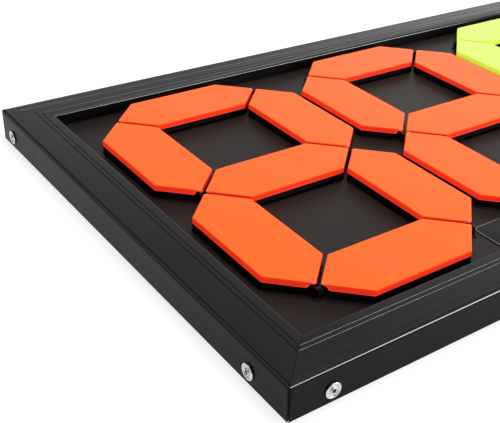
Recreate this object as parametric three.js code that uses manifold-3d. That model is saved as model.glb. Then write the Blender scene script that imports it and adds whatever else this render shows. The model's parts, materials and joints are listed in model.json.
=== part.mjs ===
// A touchline substitution board: an aluminium frame round a black panel, with four
// seven-segment digits whose flaps turn over one by one, coloured face or black face up.
// Millimetres. The board lies on its back: X along its width, Y up the digits, Z out of
// the display. The origin is the middle of its footprint.

import * as THREE from 'three';
import { mergeVertices } from 'three/addons/utils/BufferGeometryUtils.js';
import Module from 'manifold-3d';

// Digits
const digitCount = 4;
const nodeSpacing = 100; // between the points where the centre lines of a digit's flaps meet
const digitGap = 6.3; // between the flaps of one digit and the next
const orangeDigits = 2; // the rest are yellow

// Flaps
const flapHalfWidth = 17.8;
const flapThickness = 6.6;
const flapSeam = 2.2; // between the slanted ends of two flaps
const flapCornerRadius = 1.4;
const flapEdgeRound = 0.8;
const mouthRadius = 2.9; // the arch at each tip
const mouthDepth = 3.3;

// Pivots
const pinRadius = 1.1;
const pinLength = 8; // from the middle of the post
const pinClearance = 0.3;
const postRadius = 1.15;
const postCap = 1.4; // the post above the pins' centre line
const footRadius = 2.6;
const footHeight = 0.3;

// Panel
const panelThickness = 2;
const panelBelowFlaps = 0.7; // its front face under the flaps' black faces
const windowClearance = 0.9; // beside a flap's long edges
const windowBlunt = 1.9; // how far a window's end stops short of the flap's tip
const webWidth = 1.8; // the panel's strip under the seam of two flaps
const panelGrip = 3.6; // how far the panel's edge enters the rails
const grooveClearance = 0.3;

// Rails
const railDepth = 19;
const wall = 1.5;
const wideFace = 15.5;
const bandFace = 2.7;
const lipFace = 5.7;
const lipDrop = 0.8; // the fall of the lip towards the panel
const faceAboveFlaps = 0.6;
const outerRound = 2;
const lipRound = 0.7;
const heelRound = 0.4;
const cornerRound = 1.8; // the board's four upright corners
const lineWidth = 0.5; // the two fine grooves in the face
const lineDepth = 0.45;
const marginAcross = 7.3; // between the digits and the top and bottom rails
const marginAlong = 9.3; // between the digits and the side rails
const mitreGap = 0.3;
const channelHeight = 10.8; // the channel that holds the corner brackets
const channelRib = 1.2;
const channelRibReach = 2.2;

// Corner brackets and rivets
const bracketArm = 40;
const bracketThickness = 3;
const bracketBend = 2;
const bracketClearance = 0.3;
const rivetRadius = 2;
const rivetHoleClearance = 0.3;
const rivetHeadRadius = 4;
const rivetFlange = 0.9; // the thickness of the head's flange
const rivetFlare = 0.3; // how far the flange's edges are turned in
const rivetGrooveRadius = 3.1; // the outer edge of the groove round the head's boss
const rivetGrooveDepth = 0.35;
const rivetBossRadius = 1.9;
const rivetHeadHeight = 1.3;
const mandrelRadius = 1.1;
const mandrelDepth = 2.2;
const rivetTailRadius = 2.9;
const rivetTailLength = 2.6;
const rivetSeat = 0.05;
const rivetAlongLong = 22.2; // from the board's corner, on the top and bottom rails
const rivetAlongSideLow = 28.2; // from the bottom corners, on the side rails
const rivetAlongSideHigh = 16; // from the top corners, on the side rails
const overrun = 1; // how far a cutter runs past what it cuts

const rivetSteps = 10; // sides of a rivet and its holes
const pinSteps = 8; // sides of a post, a pin and its bore
const edgeSteps = 1; // sides of the flaps' rounded edges
const cornerTurn = Math.PI / 4; // how far each side of a rounded corner turns
const railTurn = Math.PI / 6; // the same on the rails' section

// Worked out from the values above
const railFace = wideFace + bandFace + lipFace;
const tipReach = flapSeam / Math.SQRT2; // from the node to a flap's tip
const digitWidth = nodeSpacing + 2 * flapHalfWidth;
const digitHeight = 2 * nodeSpacing + 2 * flapHalfWidth;
const digitPitch = digitWidth + digitGap;
const innerWidth = digitCount * digitPitch - digitGap + 2 * marginAlong;
const innerHeight = digitHeight + 2 * marginAcross;
const boardWidth = innerWidth + 2 * railFace;
const boardHeight = innerHeight + 2 * railFace;
const pivotZ = railDepth - faceAboveFlaps - flapThickness / 2;
const panelTopZ = pivotZ - flapThickness / 2 - panelBelowFlaps;
const panelBottomZ = panelTopZ - panelThickness;
const rivetZ = wall + channelHeight / 2;

const black = new THREE.MeshStandardMaterial({ color: 0x1d1b1b, roughness: 0.45, metalness: 0 });
const anodised = new THREE.MeshStandardMaterial({ color: 0x2a2b2d, roughness: 0.35, metalness: 0.7 });
const orange = new THREE.MeshStandardMaterial({ color: 0xff6a2a, roughness: 0.4, metalness: 0 });
const yellow = new THREE.MeshStandardMaterial({ color: 0xe4ff4a, roughness: 0.4, metalness: 0 });
const castAlloy = new THREE.MeshStandardMaterial({ color: 0x8c8f92, roughness: 0.5, metalness: 0.8 });
const brightAlloy = new THREE.MeshStandardMaterial({ color: 0xd9dbdc, roughness: 0.25, metalness: 0.9 });

const wasm = await Module();
wasm.setup();

// A closed three.js geometry as a solid that can be cut and joined.
function solid(geometry) {
  const bare = geometry.index ? geometry.toNonIndexed() : geometry.clone();
  bare.deleteAttribute('normal');
  bare.deleteAttribute('uv');
  const merged = mergeVertices(bare);
  return new wasm.Manifold(new wasm.Mesh({
    numProp: 3,
    vertProperties: new Float32Array(merged.attributes.position.array),
    triVerts: new Uint32Array(merged.index.array),
  }));
}

function geometryOf(body) {
  const mesh = body.getMesh();
  const geometry = new THREE.BufferGeometry();
  geometry.setAttribute('position', new THREE.BufferAttribute(mesh.vertProperties, mesh.numProp));
  geometry.setIndex(new THREE.BufferAttribute(mesh.triVerts, 1));
  return geometry;
}

function piece(name, geometry, material) {
  const mesh = new THREE.Mesh(geometry, material);
  mesh.name = name;
  return mesh;
}

// A round bar along Z from z = low to z = high.
function bar(radius, low, high, steps) {
  const geometry = new THREE.CylinderGeometry(radius, radius, high - low, steps);
  return geometry.rotateX(Math.PI / 2).translate(0, 0, (low + high) / 2);
}

// A closed outline with its corners rounded, each corner given as [x, y, radius], by sides
// that turn by sideTurn.
function roundedShape(corners, sideTurn) {
  const points = [];
  corners.forEach(([x, y, radius], i) => {
    const corner = new THREE.Vector2(x, y);
    if (!radius) {
      points.push(corner);
      return;
    }
    const count = corners.length;
    const before = new THREE.Vector2(...corners[(i + count - 1) % count]).sub(corner).normalize();
    const after = new THREE.Vector2(...corners[(i + 1) % count]).sub(corner).normalize();
    const halfAngle = Math.acos(before.dot(after)) / 2;
    const inward = before.clone().add(after).normalize();
    const centre = corner.clone().addScaledVector(inward, radius / Math.sin(halfAngle));
    const start = corner.clone().addScaledVector(before, radius / Math.tan(halfAngle)).sub(centre);
    const turn = (Math.PI - 2 * halfAngle) * Math.sign(-before.cross(after));
    const steps = Math.max(1, Math.round(Math.abs(turn) / sideTurn));
    for (let k = 0; k <= steps; k += 1) {
      const arm = start.clone().rotateAround(new THREE.Vector2(), (turn * k) / steps);
      points.push(arm.add(centre));
    }
  });
  return new THREE.Shape(points);
}

// The outline of a flap or of its window, along X about its middle: a long hexagon with
// square-cut slants. blunt cuts the tips off.
function hexagon(reach, halfWidth, radius, blunt) {
  const shoulder = reach - halfWidth;
  const right = blunt
    ? [[reach - blunt, -blunt, 0], [reach - blunt, blunt, 0]]
    : [[reach, 0, radius]];
  const half = [[shoulder, -halfWidth, radius], ...right, [shoulder, halfWidth, radius]];
  return half.concat(half.map(([x, y, r]) => [-x, -y, r]));
}

// One flap along X, its pivot line on the origin.
function flapGeometry() {
  const reach = nodeSpacing / 2 - tipReach;
  const outline = roundedShape(hexagon(reach, flapHalfWidth, flapCornerRadius), cornerTurn);
  const plate = new THREE.ExtrudeGeometry(outline, {
    depth: flapThickness - 2 * flapEdgeRound,
    bevelThickness: flapEdgeRound,
    bevelSize: flapEdgeRound,
    bevelOffset: -flapEdgeRound,
    bevelSegments: edgeSteps,
  });
  let body = solid(plate.translate(0, 0, flapEdgeRound - flapThickness / 2));
  const boreEnd = nodeSpacing / 2 - pinLength - pinClearance;
  const bore = bar(pinRadius + pinClearance, boreEnd, reach + overrun, pinSteps).rotateY(Math.PI / 2);
  const mouth = bar(mouthRadius, reach - mouthDepth, reach + overrun, pinSteps).rotateY(Math.PI / 2);
  const end = solid(bore).add(solid(mouth));
  body = body.subtract(end).subtract(end.rotate([0, 0, 180]));
  return geometryOf(body);
}

// Where each segment of a digit lies, in node spacings from the digit's bottom left node.
const segmentShares = {
  top: { x: 0.5, y: 2, upright: false },
  upper_left: { x: 0, y: 1.5, upright: true },
  upper_right: { x: 1, y: 1.5, upright: true },
  middle: { x: 0.5, y: 1, upright: false },
  lower_left: { x: 0, y: 0.5, upright: true },
  lower_right: { x: 1, y: 0.5, upright: true },
  bottom: { x: 0.5, y: 0, upright: false },
};

// The bottom left node of a digit, counted from 0 at the left.
function digitOrigin(digit) {
  const x = -innerWidth / 2 + marginAlong + flapHalfWidth + digit * digitPitch;
  return new THREE.Vector2(x, -nodeSpacing);
}

function segmentPlace(digit, share) {
  const origin = digitOrigin(digit);
  return new THREE.Vector2(origin.x + share.x * nodeSpacing, origin.y + share.y * nodeSpacing);
}

// A pivot post on the point where flaps meet, its foot on the panel's front face, with
// a pin towards each flap. Its own origin is on the pins' centre line.
function postSolid(pinTurns) {
  const footZ = panelTopZ - pivotZ - panelThickness / 2;
  const shoulderZ = panelTopZ - pivotZ + footHeight;
  const profile = [
    [0, footZ], [footRadius, footZ], [footRadius, shoulderZ], [postRadius, shoulderZ],
    [postRadius, postCap], [0, postCap],
  ].map(([x, y]) => new THREE.Vector2(x, y));
  const lathe = new THREE.LatheGeometry(profile, pinSteps).rotateX(Math.PI / 2);
  let post = solid(lathe);
  for (const turn of pinTurns) {
    const pin = bar(pinRadius, 0, pinLength, pinSteps).rotateY(Math.PI / 2);
    post = post.add(solid(pin).rotate([0, 0, turn]));
  }
  return post;
}

// The panel: a flat sheet with a window under every flap and the posts moulded on it.
function panelGeometry() {
  const halfWidth = innerWidth / 2 + panelGrip;
  const halfHeight = innerHeight / 2 + panelGrip;
  const sheet = new THREE.Shape([
    new THREE.Vector2(-halfWidth, -halfHeight), new THREE.Vector2(halfWidth, -halfHeight),
    new THREE.Vector2(halfWidth, halfHeight), new THREE.Vector2(-halfWidth, halfHeight),
  ]);
  const windowReach = nodeSpacing / 2 - webWidth / Math.SQRT2;
  const blunt = windowBlunt + tipReach - webWidth / Math.SQRT2;
  const corners = hexagon(windowReach, flapHalfWidth + windowClearance, flapCornerRadius, blunt);
  const opening = roundedShape(corners, cornerTurn).getPoints();
  const middle = new THREE.Vector2();
  for (let digit = 0; digit < digitCount; digit += 1) {
    for (const share of Object.values(segmentShares)) {
      const place = segmentPlace(digit, share);
      const turn = share.upright ? Math.PI / 2 : 0;
      const points = opening.map((point) => point.clone().rotateAround(middle, turn).add(place));
      sheet.holes.push(new THREE.Path(points));
    }
  }
  const plate = new THREE.ExtrudeGeometry(sheet, { depth: panelThickness, bevelEnabled: false });
  let body = solid(plate.translate(0, 0, panelBottomZ));
  for (let digit = 0; digit < digitCount; digit += 1) {
    const origin = digitOrigin(digit);
    for (const column of [0, 1]) {
      for (const row of [0, 1, 2]) {
        const turns = [column ? 180 : 0];
        if (row < 2) turns.push(90);
        if (row > 0) turns.push(-90);
        const x = origin.x + column * nodeSpacing;
        const y = origin.y + row * nodeSpacing;
        body = body.add(postSolid(turns).translate([x, y, pivotZ]));
      }
    }
  }
  return geometryOf(body);
}

// The cross-section of a rail: u inwards from its outer wall, z up from its heel.
function railSection() {
  const lipZ = railDepth - lipDrop;
  const slope = lipDrop / lipFace;
  const line = (u) => [
    [u - lineWidth / 2, railDepth, 0], [u, railDepth - lineDepth, 0], [u + lineWidth / 2, railDepth, 0],
  ];
  const grooveTop = panelTopZ + grooveClearance;
  const grooveBottom = panelBottomZ - grooveClearance;
  const grooveEnd = railFace - panelGrip - grooveClearance;
  const outline = [
    [0, 0, heelRound], [railFace, 0, heelRound],
    [railFace, grooveBottom, 0], [grooveEnd, grooveBottom, 0], [grooveEnd, grooveTop, 0],
    [railFace, grooveTop, 0], [railFace, lipZ, lipRound],
    [wideFace + bandFace + lineWidth / 2, railDepth - slope * lineWidth / 2, 0],
    ...line(wideFace + bandFace).slice(0, 2).reverse(),
    ...line(wideFace).reverse(),
    [0, railDepth, outerRound],
  ];
  const shape = roundedShape(outline, railTurn);
  const ribLow = wall + channelHeight;
  const ribHigh = ribLow + channelRib;
  const chamberEnd = grooveEnd - wall;
  const ribEnd = wall + channelRibReach;
  const roof = railDepth - wall;
  const chamber = [
    [wall, wall, 0], [chamberEnd, wall, 0], [chamberEnd, roof, 0], [wall + outerRound / 2, roof, 0],
    [wall, roof - outerRound / 2, 0], [wall, ribHigh, 0], [ribEnd, ribHigh, 0], [ribEnd, ribLow, 0],
    [wall, ribLow, 0],
  ];
  shape.holes.push(roundedShape(chamber, railTurn));
  return shape;
}

// A mitred rail along X, its outer wall on y = 0 and its heel on z = 0. holeXs are the
// places of its rivet holes.
function railGeometry(length, holeXs) {
  const extruded = new THREE.ExtrudeGeometry(railSection(), { depth: length, bevelEnabled: false });
  extruded.rotateX(Math.PI / 2).rotateZ(Math.PI / 2).translate(-length / 2, 0, 0);
  const position = extruded.attributes.position;
  for (let i = 0; i < position.count; i += 1) {
    const cut = position.getY(i) + mitreGap / 2;
    position.setX(i, position.getX(i) - Math.sign(position.getX(i)) * cut);
  }
  const plan = roundedShape([
    [-length / 2, 0, cornerRound], [length / 2, 0, cornerRound],
    [length / 2, railFace + overrun, 0], [-length / 2, railFace + overrun, 0],
  ], railTurn);
  const block = new THREE.ExtrudeGeometry(plan, { depth: railDepth + 2 * overrun, bevelEnabled: false });
  let body = solid(extruded).intersect(solid(block.translate(0, 0, -overrun)));
  const holeRadius = rivetRadius + rivetHoleClearance;
  const hole = bar(holeRadius, -overrun, wall + overrun, rivetSteps).rotateX(-Math.PI / 2);
  for (const x of holeXs) {
    body = body.subtract(solid(hole).translate([x, 0, rivetZ]));
  }
  return geometryOf(body);
}

// An angle bracket in the channel of two rails, its outer corner on the origin of the
// board's corner, arms along X and Y. The rivet holes lie at alongX and alongY.
function bracketGeometry(alongX, alongY) {
  const outer = wall + bracketClearance;
  const inner = outer + bracketThickness;
  const end = outer + bracketArm;
  const outline = roundedShape([
    [outer, outer, 0], [end, outer, 0], [end, inner, 0], [inner, inner, bracketBend],
    [inner, end, 0], [outer, end, 0],
  ], cornerTurn);
  const height = channelHeight - 2 * bracketClearance;
  const arms = new THREE.ExtrudeGeometry(outline, { depth: height, bevelEnabled: false });
  let body = solid(arms.translate(0, 0, wall + bracketClearance));
  const holeRadius = rivetRadius + rivetHoleClearance;
  const hole = bar(holeRadius, outer - overrun, inner + overrun, rivetSteps);
  const acrossY = solid(hole.clone().rotateX(-Math.PI / 2)).translate([alongX, 0, rivetZ]);
  const acrossX = solid(hole.clone().rotateY(Math.PI / 2)).translate([0, alongY, rivetZ]);
  body = body.subtract(acrossY).subtract(acrossX);
  return geometryOf(body);
}

// A set blind rivet along Z: its head above z = 0, its tail swollen behind the bracket.
function rivetGeometry() {
  const grip = wall + bracketClearance + bracketThickness + rivetSeat;
  const flangeTop = rivetSeat + rivetFlange;
  const grooveFloor = flangeTop - rivetGrooveDepth;
  const bossTop = rivetSeat + rivetHeadHeight;
  const outline = [
    [0, -grip - rivetTailLength], [rivetTailRadius / 2, -grip - rivetTailLength],
    [rivetTailRadius, -grip - rivetTailLength / 2], [rivetRadius, -grip - rivetSeat],
    [rivetRadius, rivetSeat], [rivetHeadRadius - rivetFlare, rivetSeat],
    [rivetHeadRadius, flangeTop - rivetFlare], [rivetHeadRadius - rivetFlare, flangeTop],
    [rivetGrooveRadius, flangeTop], [rivetGrooveRadius - rivetFlare, grooveFloor],
    [rivetBossRadius, grooveFloor], [rivetBossRadius - rivetFlare, bossTop],
    [mandrelRadius, bossTop], [mandrelRadius, bossTop - mandrelDepth],
    [0, bossTop - mandrelDepth],
  ].map(([x, y]) => new THREE.Vector2(x, y));
  return new THREE.LatheGeometry(outline, rivetSteps).rotateX(Math.PI / 2);
}

const board = new THREE.Group();

// Flaps
const flap = flapGeometry();
for (let digit = 0; digit < digitCount; digit += 1) {
  for (const [name, share] of Object.entries(segmentShares)) {
    const colour = digit < orangeDigits ? orange : yellow;
    const mesh = piece(`digit${digit + 1}_${name}`, flap, colour);
    const place = segmentPlace(digit, share);
    mesh.position.set(place.x, place.y, pivotZ);
    if (share.upright) mesh.rotation.z = Math.PI / 2;
    board.add(mesh);
  }
}

// Panel
board.add(piece('display_panel', panelGeometry(), black));

// Rails, each in a group turned to its side of the board
const sides = [
  { side: 'bottom', turn: 0, length: boardWidth, out: boardHeight / 2 },
  { side: 'right', turn: 90, length: boardHeight, out: boardWidth / 2 },
  { side: 'top', turn: 180, length: boardWidth, out: boardHeight / 2 },
  { side: 'left', turn: 270, length: boardHeight, out: boardWidth / 2 },
];
// The rivets' places along each rail, from its start to its end as it is turned.
const rivetInsets = {
  bottom: [rivetAlongLong, rivetAlongLong],
  right: [rivetAlongSideLow, rivetAlongSideHigh],
  top: [rivetAlongLong, rivetAlongLong],
  left: [rivetAlongSideHigh, rivetAlongSideLow],
};
const rivet = rivetGeometry();
for (const { side, turn, length, out } of sides) {
  const turned = new THREE.Group();
  turned.rotation.z = THREE.MathUtils.degToRad(turn);
  const [start, end] = rivetInsets[side];
  const holeXs = [start - length / 2, length / 2 - end];
  const rail = piece(`rail_${side}`, railGeometry(length, holeXs), anodised);
  rail.position.y = -out;
  turned.add(rail);
  holeXs.forEach((x, i) => {
    const mesh = piece(`rivet_${side}_${i + 1}`, rivet, brightAlloy);
    mesh.rotation.x = Math.PI / 2;
    mesh.position.set(x, -out, rivetZ);
    turned.add(mesh);
  });
  board.add(turned);
}

// Corner brackets
for (const [name, signX, signY, along] of [
  ['bracket_bottom_left', 1, 1, rivetAlongSideLow], ['bracket_bottom_right', -1, 1, rivetAlongSideLow],
  ['bracket_top_left', 1, -1, rivetAlongSideHigh], ['bracket_top_right', -1, -1, rivetAlongSideHigh],
]) {
  const mirrored = geometryOf(
    solid(bracketGeometry(rivetAlongLong, along)).scale([signX, signY, 1]),
  );
  const mesh = piece(name, mirrored, castAlloy);
  mesh.position.set(-signX * boardWidth / 2, -signY * boardHeight / 2, 0);
  board.add(mesh);
}

export default board;
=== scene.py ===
# %% [markdown]
# # A substitution board, photographed lying on its back
#
# The fourth official of a football match holds such a board up to call players off and
# on. It is a mitred frame of black aluminium round a black plastic panel. Four digits of
# seven flaps each lie on the panel. Every flap is a coloured half-shell closed over a
# black one, and it turns over on two pins, so that a segment is either lit or dark.
#
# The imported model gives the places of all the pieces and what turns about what. This
# script dresses it: finer shapes where the eye gets close, and a finish for each
# material. Lengths are written in millimetres and turned into metres by MM.

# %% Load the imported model
import json
import math

import bmesh
import bpy
from mathutils import Matrix, Vector

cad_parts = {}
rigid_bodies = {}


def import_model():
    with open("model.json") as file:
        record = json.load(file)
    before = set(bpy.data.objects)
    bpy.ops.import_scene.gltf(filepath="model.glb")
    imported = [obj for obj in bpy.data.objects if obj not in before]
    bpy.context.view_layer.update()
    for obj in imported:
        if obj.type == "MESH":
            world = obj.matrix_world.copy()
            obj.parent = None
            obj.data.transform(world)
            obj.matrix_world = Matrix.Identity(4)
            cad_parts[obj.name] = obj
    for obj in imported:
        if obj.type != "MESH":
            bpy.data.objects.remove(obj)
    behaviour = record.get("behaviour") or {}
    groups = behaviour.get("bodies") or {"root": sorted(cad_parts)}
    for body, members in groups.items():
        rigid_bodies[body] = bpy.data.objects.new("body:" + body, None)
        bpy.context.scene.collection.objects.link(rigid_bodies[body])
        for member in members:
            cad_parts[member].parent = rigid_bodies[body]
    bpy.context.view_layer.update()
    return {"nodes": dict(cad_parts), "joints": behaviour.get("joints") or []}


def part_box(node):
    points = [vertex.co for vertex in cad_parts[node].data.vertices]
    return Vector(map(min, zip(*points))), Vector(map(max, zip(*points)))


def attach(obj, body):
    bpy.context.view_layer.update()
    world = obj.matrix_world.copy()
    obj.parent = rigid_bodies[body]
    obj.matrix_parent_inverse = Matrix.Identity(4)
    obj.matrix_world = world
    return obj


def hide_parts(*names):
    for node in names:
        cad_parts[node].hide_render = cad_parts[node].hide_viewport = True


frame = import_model()
MM = 0.001

# %% [markdown]
# ## The camera
#
# The photograph is a crop out of a larger picture: the lines of the board only meet where
# they should if the lens's axis passes right of the middle. Turning a camera by hand until
# it looks right leaves the far corner astray, so these numbers were solved from the tips
# of the flaps, the rivets and the corners. The camera looks at a point on the flaps, is
# rolled a little, and its picture is shifted sideways.

# %% Camera
CAMERA_PLACE = Vector((-0.47918, -0.36380, 0.25939))
CAMERA_AIM = Vector((-0.22769, -0.04913, 0.0184))
CAMERA_ROLL = math.radians(3.359)
CAMERA_LENS = 66.457
CAMERA_SHIFT = (-0.12476, 0.00569)
CAMERA_NEAREST = 0.01


def linked(name, data):
    """A new object of the scene that shows data."""
    obj = bpy.data.objects.new(name, data)
    bpy.context.scene.collection.objects.link(obj)
    return obj


def looking(place, aim):
    """The matrix of a camera or lamp at place, turned towards aim."""
    turn = (aim - place).to_track_quat("-Z", "Y").to_matrix().to_4x4()
    return Matrix.Translation(place) @ turn


camera_data = bpy.data.cameras.new("camera")
camera_data.lens = CAMERA_LENS
camera_data.shift_x, camera_data.shift_y = CAMERA_SHIFT
camera_data.clip_start = CAMERA_NEAREST
camera = linked("camera", camera_data)
camera.matrix_world = (looking(CAMERA_PLACE, CAMERA_AIM)
                       @ Matrix.Rotation(CAMERA_ROLL, 4, "Z"))
bpy.context.scene.camera = camera
print("camera to flaps:", round((CAMERA_AIM - CAMERA_PLACE).length, 3), "m")

# %% [markdown]
# ## The sizes of a flap
#
# Each finer piece has the sizes of its plain one, so that it lies in the same place. They
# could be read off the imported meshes, but round edges and bores are hard to read back, so
# a few numbers are written again, each where it is first needed. The flap's come first,
# because its colour depends on them. Heights are counted from the line it turns about.

# %% Sizes of a flap in millimetres
NODE_SPACING = 100                      # from post to post
FLAP_HALF_WIDTH = 17.8
FLAP_SEAM = 2.2                         # gap between the slants of two flaps
FLAP_HALF_THICKNESS = 3.3
FLAP_CORNER = 1.4
FLAP_EDGE = 0.75
PARTING_EDGE = 0.2                      # ease where the two half-shells meet
MOUTH_RADIUS = 2.9                      # arch over the post, at each tip
MOUTH_DEPTH = 3.3

pivot_z = frame["joints"][0]["pos_m"][2] / MM
tip_reach = NODE_SPACING / 2 - FLAP_SEAM / math.sqrt(2)
print("pivots at", round(pivot_z, 3), "flap from tip to tip", round(2 * tip_reach, 3))

# %% [markdown]
# ## Writing shaders as sums
#
# A shader is a net of nodes. Wiring "noise times a half plus a tenth" by hand takes three
# nodes and four links, so a small class wraps a socket and lets Python's own signs add
# the nodes.

# %% Sockets that can be reckoned with
def plug(tree, entry, value):
    """Links a socket to an input, or sets the input to a plain value."""
    if isinstance(value, Sock):
        tree.links.new(value.socket, entry)
    else:
        entry.default_value = value


class Sock:
    """A node's output that can be added to, multiplied and so on."""

    def __init__(self, tree, socket):
        self.tree = tree
        self.socket = socket

    def math(self, operation, *values, clamp=False):
        node = self.tree.nodes.new("ShaderNodeMath")
        node.operation = operation
        node.use_clamp = clamp
        for entry, value in zip(node.inputs, values):
            plug(self.tree, entry, value)
        return Sock(self.tree, node.outputs[0])

    def __add__(self, other):
        return self.math("ADD", self, other)

    def __radd__(self, other):
        return self.math("ADD", other, self)

    def __sub__(self, other):
        return self.math("SUBTRACT", self, other)

    def __rsub__(self, other):
        return self.math("SUBTRACT", other, self)

    def __mul__(self, other):
        return self.math("MULTIPLY", self, other)

    def __rmul__(self, other):
        return self.math("MULTIPLY", other, self)

    def __truediv__(self, other):
        return self.math("DIVIDE", self, other)

    def __abs__(self):
        return self.math("ABSOLUTE", self)

    def root(self):
        return self.math("SQRT", self)

    def held(self):
        """The value held between 0 and 1."""
        return self.math("ADD", self, 0, clamp=True)

    def ramp(self, low, high):
        """0 up to low, 1 from high on, a straight line between them."""
        return ((self - low) / (high - low)).held()


print("made: sockets that take + - * / and abs")

# %% [markdown]
# ## Nets that take any node
#
# Most other nodes differ only in their type, their settings and their sockets, so one
# method adds them all, for materials, for the sky and for Geometry Nodes. A finish is the
# net of one material. It knows where its patterns come from: Object coordinates, which
# stay on the piece when it turns, or the piece's own UV map.

# %% Nets and finishes
MIX_COLOURS = (6, 7)                    # the Mix node's inputs for two colours,
MIX_RESULT = 2                          # and its output for one


class Net:
    """A tree of nodes."""

    def __init__(self, tree):
        self.tree = tree

    def node(self, kind, settings=None, sockets=None, output=0):
        """Adds a node, first with its settings, then its sockets' values or links."""
        node = self.tree.nodes.new(kind)
        for name, value in (settings or {}).items():
            if name == "stops":
                self.set_stops(node.color_ramp.elements, value)
            else:
                setattr(node, name, value)
        for name, value in (sockets or {}).items():
            for one in value if isinstance(value, list) else [value]:
                plug(self.tree, node.inputs[name], one)
        return Sock(self.tree, node.outputs[output])

    def set_stops(self, ramp, stops):
        while len(ramp) < len(stops):
            ramp.new(0.5)
        for stop, (place, shade) in zip(ramp, stops):
            stop.position, stop.color = place, shade

    def outputs(self, first):
        """All the outputs of the node that first comes from."""
        return [Sock(self.tree, socket) for socket in first.socket.node.outputs]

    def axes(self, vector):
        """The three numbers of a vector."""
        return self.outputs(self.node("ShaderNodeSeparateXYZ", sockets={"Vector": vector}))


class Finish(Net):
    """One material, its shader and what feeds it."""

    def __init__(self, name, **settings):
        self.material = bpy.data.materials.new(name)
        self.material.use_nodes = True
        super().__init__(self.material.node_tree)
        self.shader = self.tree.nodes["Principled BSDF"]
        for socket, value in settings.items():
            self.feed(socket.replace("_", " "), value)

    def feed(self, socket, value):
        plug(self.tree, self.shader.inputs[socket], value)

    def attribute(self, name, output="Fac"):
        """A value that the piece's mesh carries under this name."""
        return self.node("ShaderNodeAttribute", {"attribute_name": name}, output=output)

    def place(self, scale=(1, 1, 1), uv=False):
        """Object coordinates, or the piece's own UV map, stretched by scale."""
        source = self.node("ShaderNodeTexCoord", output="UV" if uv else "Object")
        return self.node("ShaderNodeMapping", sockets={"Vector": source, "Scale": scale})

    def noise(self, vector, scale, detail=2.0):
        return self.node("ShaderNodeTexNoise", sockets={
            "Vector": vector, "Scale": scale, "Detail": detail})

    def mix(self, factor, first, second):
        """A colour between two others."""
        low, high = MIX_COLOURS
        return self.node("ShaderNodeMix", {"data_type": "RGBA"},
                         {"Factor": factor, low: first, high: second}, MIX_RESULT)

    def bump(self, height, strength, distance):
        self.feed("Normal", self.node("ShaderNodeBump", sockets={
            "Height": height, "Strength": strength, "Distance": distance}))


def colour(red, green, blue):
    return (red, green, blue, 1.0)


def dimmed(shade, share):
    """A colour with this share of its light."""
    return colour(*(value * share for value in shade[:3]))


def grey(level):
    return colour(level, level, level)


print("made: nets that take any node, and finishes")

# %% [markdown]
# ## Satin black aluminium
#
# The rails are drawn through a die, then anodised black. Drawing leaves fine lines along
# their whole length. In the colour they are paler streaks, and handling leaves cloudy
# paler patches; both are partly that grain and wear and partly painted sheen, and the
# streaks are painted clearly only on the far rails, where light grazes them. Handling also
# rubs the edges bright. A picture of brushed metal would blur close up and break off at
# the mitres, so the lines are noise instead, stretched along a UV map in metres that runs
# along and around the section. The mesh says the rest: where "polish" is 1 a thin coat
# shines, and a second number says how clearly a rail shows its lines and their sheen.

# %% Finish of the rails
BLACK_DEEP = colour(0.0062, 0.0062, 0.0064)
BLACK_WEAR_AND_SHEEN = colour(0.0118, 0.0118, 0.012)
STREAKS = (5, 330, 1)                   # cells of noise in a metre, along and around
FINE_LINES = (2, 430, 1)
HAIRS = (14, 4200, 1)
PATCHES = 24.0                          # cells of noise in a metre, in all directions
RAIL_GRAIN = 2600.0
STREAK_RAMP = (0.38, 0.68)
FINE_LINE_RAMP = (0.5, 0.56)
PATCH_SHADE = 0.9
RAIL_ROUGHNESS = 0.16
STREAK_ROUGHNESS = 0.22
HAIR_ROUGHNESS = 0.06
PATCH_ROUGHNESS = 0.12
FINE_LINE_COAT = 0.17
STREAK_HEIGHT = 12.0
GRAIN_HEIGHT = 0.5
RAIL_BUMP = (0.12, 0.00004)             # strength, and height in metres

rail_finish = Finish("satin black aluminium", IOR=1.15, Coat_IOR=2.0, Coat_Roughness=0.14)
polish = rail_finish.attribute("polish")
lines = rail_finish.attribute("lines")
streaks = rail_finish.noise(rail_finish.place(STREAKS, uv=True), 1.0, detail=3.0)
fine = rail_finish.noise(rail_finish.place(FINE_LINES, uv=True), 1.0, detail=1.0)
hairs = rail_finish.noise(rail_finish.place(HAIRS, uv=True), 1.0, detail=1.0)
patches = rail_finish.noise(rail_finish.place(), PATCHES, detail=1.0)
grains = rail_finish.noise(rail_finish.place(), RAIL_GRAIN, detail=1.0)

# The paler streaks and patches in the black are partly grain and wear, partly painted sheen;
# the streaks are painted clearly only on the far rails.
drawn = 0.5 + lines * (streaks - 0.5)
worn = (drawn.ramp(*STREAK_RAMP) + PATCH_SHADE * patches - PATCH_SHADE / 2).held()
rail_finish.feed("Base Color", rail_finish.mix(worn, BLACK_DEEP, BLACK_WEAR_AND_SHEEN))
rail_finish.feed("Roughness", RAIL_ROUGHNESS + STREAK_ROUGHNESS * drawn
                 + HAIR_ROUGHNESS * hairs + PATCH_ROUGHNESS * patches)
rail_finish.feed("Coat Weight",
                 (polish + FINE_LINE_COAT * lines * fine.ramp(*FINE_LINE_RAMP)).held())
rail_finish.bump(STREAK_HEIGHT * drawn + GRAIN_HEIGHT * grains, *RAIL_BUMP)
print(rail_finish.material.name, "nodes:", len(rail_finish.tree.nodes))

# %% [markdown]
# ## Black plastic
#
# The panel, the posts and the black halves of the flaps are moulded in a warm black
# plastic. One flat black would look like a hole in the picture. Moulding leaves a fine
# matt grain and faint clouds, so the colour drifts between two blacks and the grain is a
# bump far smaller than a millimetre.

# %% Finishes of the black plastic pieces
PLASTIC_CLOUDS = 14.0
CLOUD_RAMP = (0.3, 0.7)
GRAIN_ROUGHNESS = 0.1
PLASTIC_BUMP = (0.25, 0.00005)


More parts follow.
